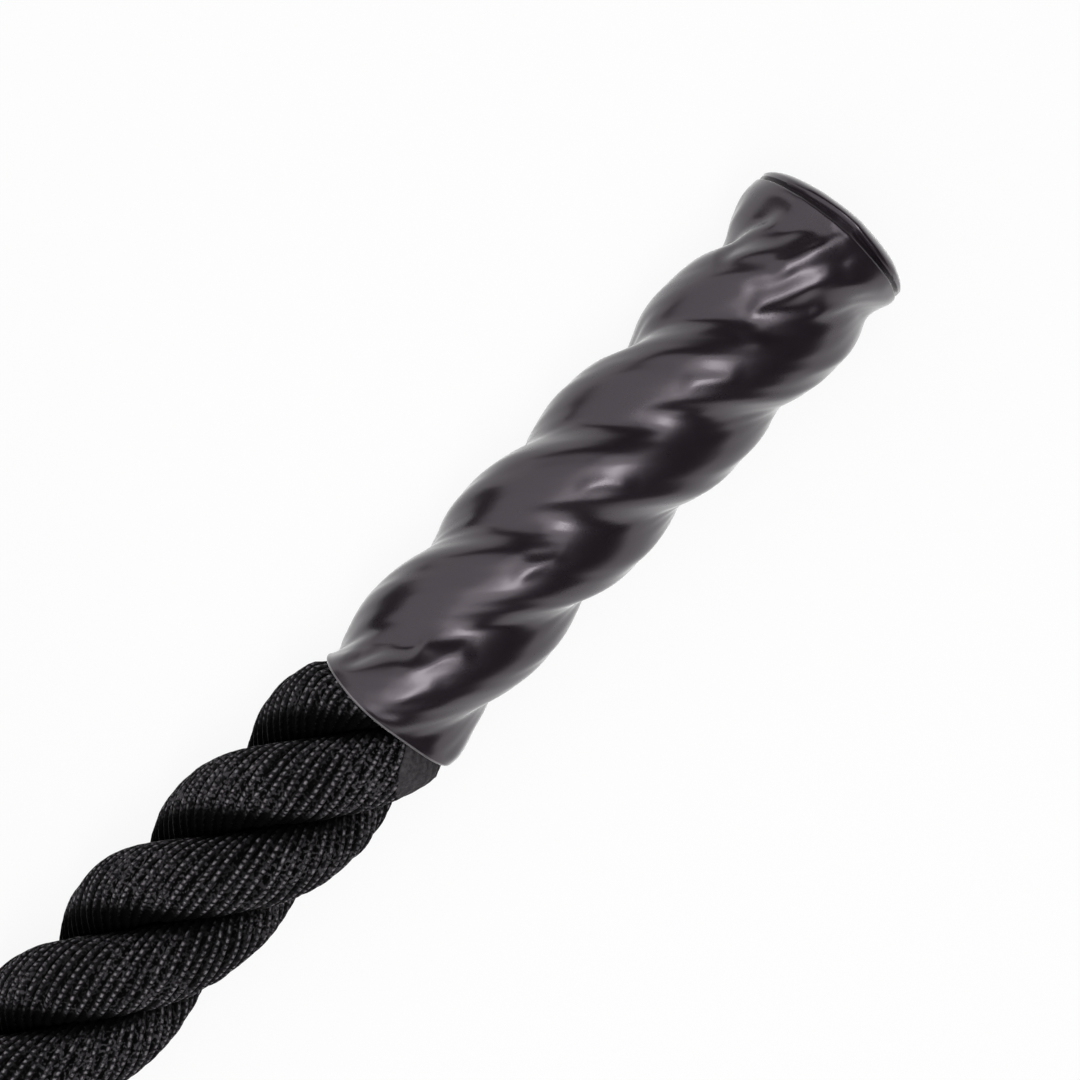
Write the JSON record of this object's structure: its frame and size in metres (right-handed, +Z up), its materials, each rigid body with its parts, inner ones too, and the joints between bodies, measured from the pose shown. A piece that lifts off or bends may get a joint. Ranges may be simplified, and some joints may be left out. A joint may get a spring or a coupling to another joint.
{
  "type": "battle rope",
  "caption": "Black laid training rope with a semi-gloss sleeve shrunk over each end as a grip; one grip lies out straight, the rest of the rope is coiled behind it.",
  "frame": {"origin": "on the floor, midway between the two handles: the bottom centre of the box round them, without the rope", "axes": "+X along handle A from its mouth to its closed end, handle B points along -Y on top of the coil, +Z up"},
  "size_m": [0.7027, 0.5644, 0.1142],
  "materials": {
    "rope": "black polyester yarn laid in strands, matt, with small grey glints along the yarns",
    "sleeve": "semi-gloss black shrink tube drawn tight over the strands, with soft streaks and slight creases",
    "tape": "black vinyl tape",
    "fused_end": "melted and set polyester, near black"
  },
  "bodies": {
    "root": {"handle_sleeve_a": "sleeve", "end_tape_a": "tape", "fused_end_a": "fused_end", "strand_a1": "rope", "strand_a2": "rope", "strand_a3": "rope", "handle_sleeve_b": "sleeve", "end_tape_b": "tape", "fused_end_b": "fused_end", "strand_b1": "rope", "strand_b2": "rope", "strand_b3": "rope", "rope_run_a": "rope", "rope_coil": "rope", "rope_run_b": "rope"}
  },
  "joints": []
}
